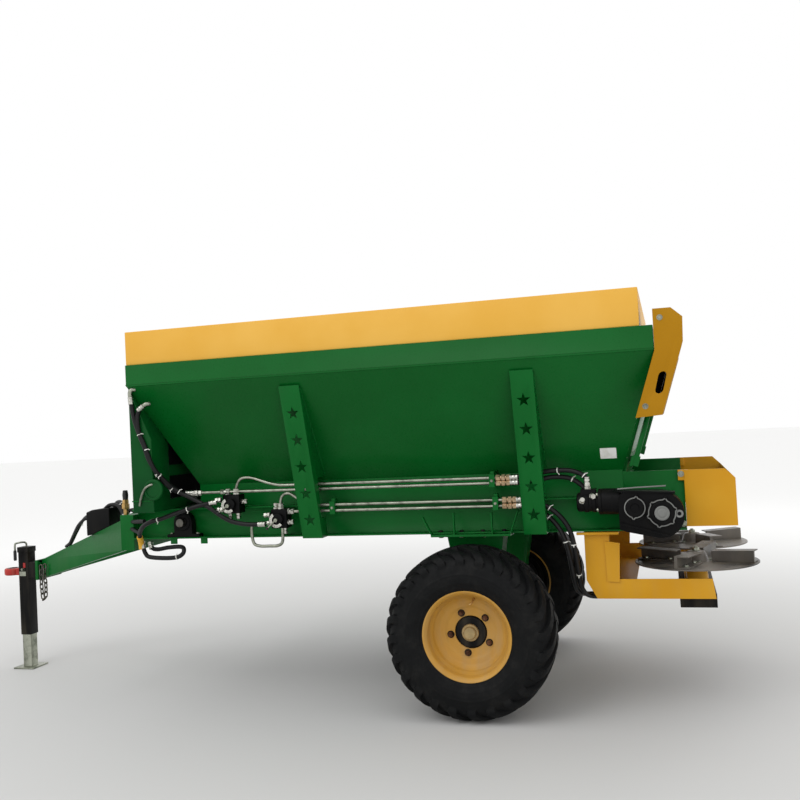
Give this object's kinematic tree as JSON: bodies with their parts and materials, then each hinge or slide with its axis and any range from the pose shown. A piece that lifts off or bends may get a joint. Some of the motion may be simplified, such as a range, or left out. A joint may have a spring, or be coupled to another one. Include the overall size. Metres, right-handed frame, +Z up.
{
  "type": "manure spreader",
  "caption": "Towed single-axle manure spreader: tapered hopper with extension boards, belt floor, sliding rear gate, twin bladed spinner discs, A-frame drawbar and parking jack.",
  "frame": {"origin": "on the ground under the middle of the machine's overall length and width", "axes": "+X to the machine's rear, +Y to its right-hand side, +Z up"},
  "size_m": [4.745, 1.856, 2.03],
  "materials": {
    "green_paint": "gloss green machine enamel",
    "yellow_paint": "gloss yellow machine enamel",
    "black_paint": "satin black paint over cast and folded steel",
    "black_rubber": "smooth hose and belt rubber",
    "tyre_rubber": "dull tyre rubber with deep lugs",
    "steel": "zinc plated and plain steel",
    "red_paint": "red primer paint"
  },
  "bodies": {
    "chassis": {"axle": "green_paint", "belt": "black_rubber", "board_front": "yellow_paint", "board_left": "yellow_paint", "board_rear": "yellow_paint", "board_right": "yellow_paint", "chute": "yellow_paint", "cylinder_cover_left": "yellow_paint", "cylinder_cover_right": "yellow_paint", "drawbar": "green_paint", "drawbar_hose": "black_rubber", "floor_bed": "green_paint", "floor_motor": "black_paint", "flow_valve_front": "black_paint", "flow_valve_rear": "black_paint", "front_bearing_left": "black_paint", "front_bearing_right": "black_paint", "front_bulkhead": "green_paint", "front_hose": "black_rubber", "front_panel": "black_paint", "front_roller": "steel", "gate_cylinder_left": "steel", "gate_cylinder_right": "steel", "gearbox": "black_paint", "hopper_front": "green_paint", "hopper_rear": "green_paint", "hopper_side_left": "green_paint", "hopper_side_right": "green_paint", "hose_box": "black_paint", "jack_tube": "black_paint", "motor_hose": "black_rubber", "pipes_lower": "steel", "pipes_upper": "steel", "rail_left": "green_paint", "rail_right": "green_paint", "rear_plate_left": "green_paint", "rear_plate_right": "green_paint", "rear_roller": "steel", "safety_chain": "steel", "spinner_hose": "black_rubber", "spinner_tray": "yellow_paint", "star_bracket_left_1": "green_paint", "star_bracket_left_2": "green_paint", "star_bracket_right_1": "green_paint", "star_bracket_right_2": "green_paint", "towing_eye": "red_paint", "under_bar": "black_paint"},
    "wheel_left": {"hub_left": "black_paint", "wheel_rim_left": "yellow_paint", "tyre_left": "tyre_rubber"},
    "wheel_right": {"hub_right": "black_paint", "wheel_rim_right": "yellow_paint", "tyre_right": "tyre_rubber"},
    "spinner_left": {"spinner_left": "black_paint"},
    "spinner_right": {"spinner_right": "black_paint"},
    "gate": {"gate": "green_paint"},
    "jack_leg": {"jack_leg": "steel"}
  },
  "joints": [
    {"name": "wheel_left_spin", "type": "hinge", "parent": "chassis", "child": "wheel_left", "pos_m": [0.9875, -0.76, 0.42], "axis": [0, 1, 0], "continuous": true},
    {"name": "wheel_right_spin", "type": "hinge", "parent": "chassis", "child": "wheel_right", "pos_m": [0.9875, 0.76, 0.42], "axis": [0, 1, 0], "continuous": true},
    {"name": "spinner_left_spin", "type": "hinge", "parent": "chassis", "child": "spinner_left", "pos_m": [2.0725, -0.36, 0.695], "axis": [0, 0, 1], "continuous": true},
    {"name": "spinner_right_spin", "type": "hinge", "parent": "chassis", "child": "spinner_right", "pos_m": [2.0725, 0.36, 0.695], "axis": [0, 0, 1], "continuous": true},
    {"name": "gate_lift", "type": "slide", "parent": "chassis", "child": "gate", "axis": [0.309, 0, 0.9511], "range_m": [0, 0.25]},
    {"name": "jack_leg_slide", "type": "slide", "parent": "chassis", "child": "jack_leg", "axis": [0, 0, 1], "range_m": [0, 0.19]}
  ]
}
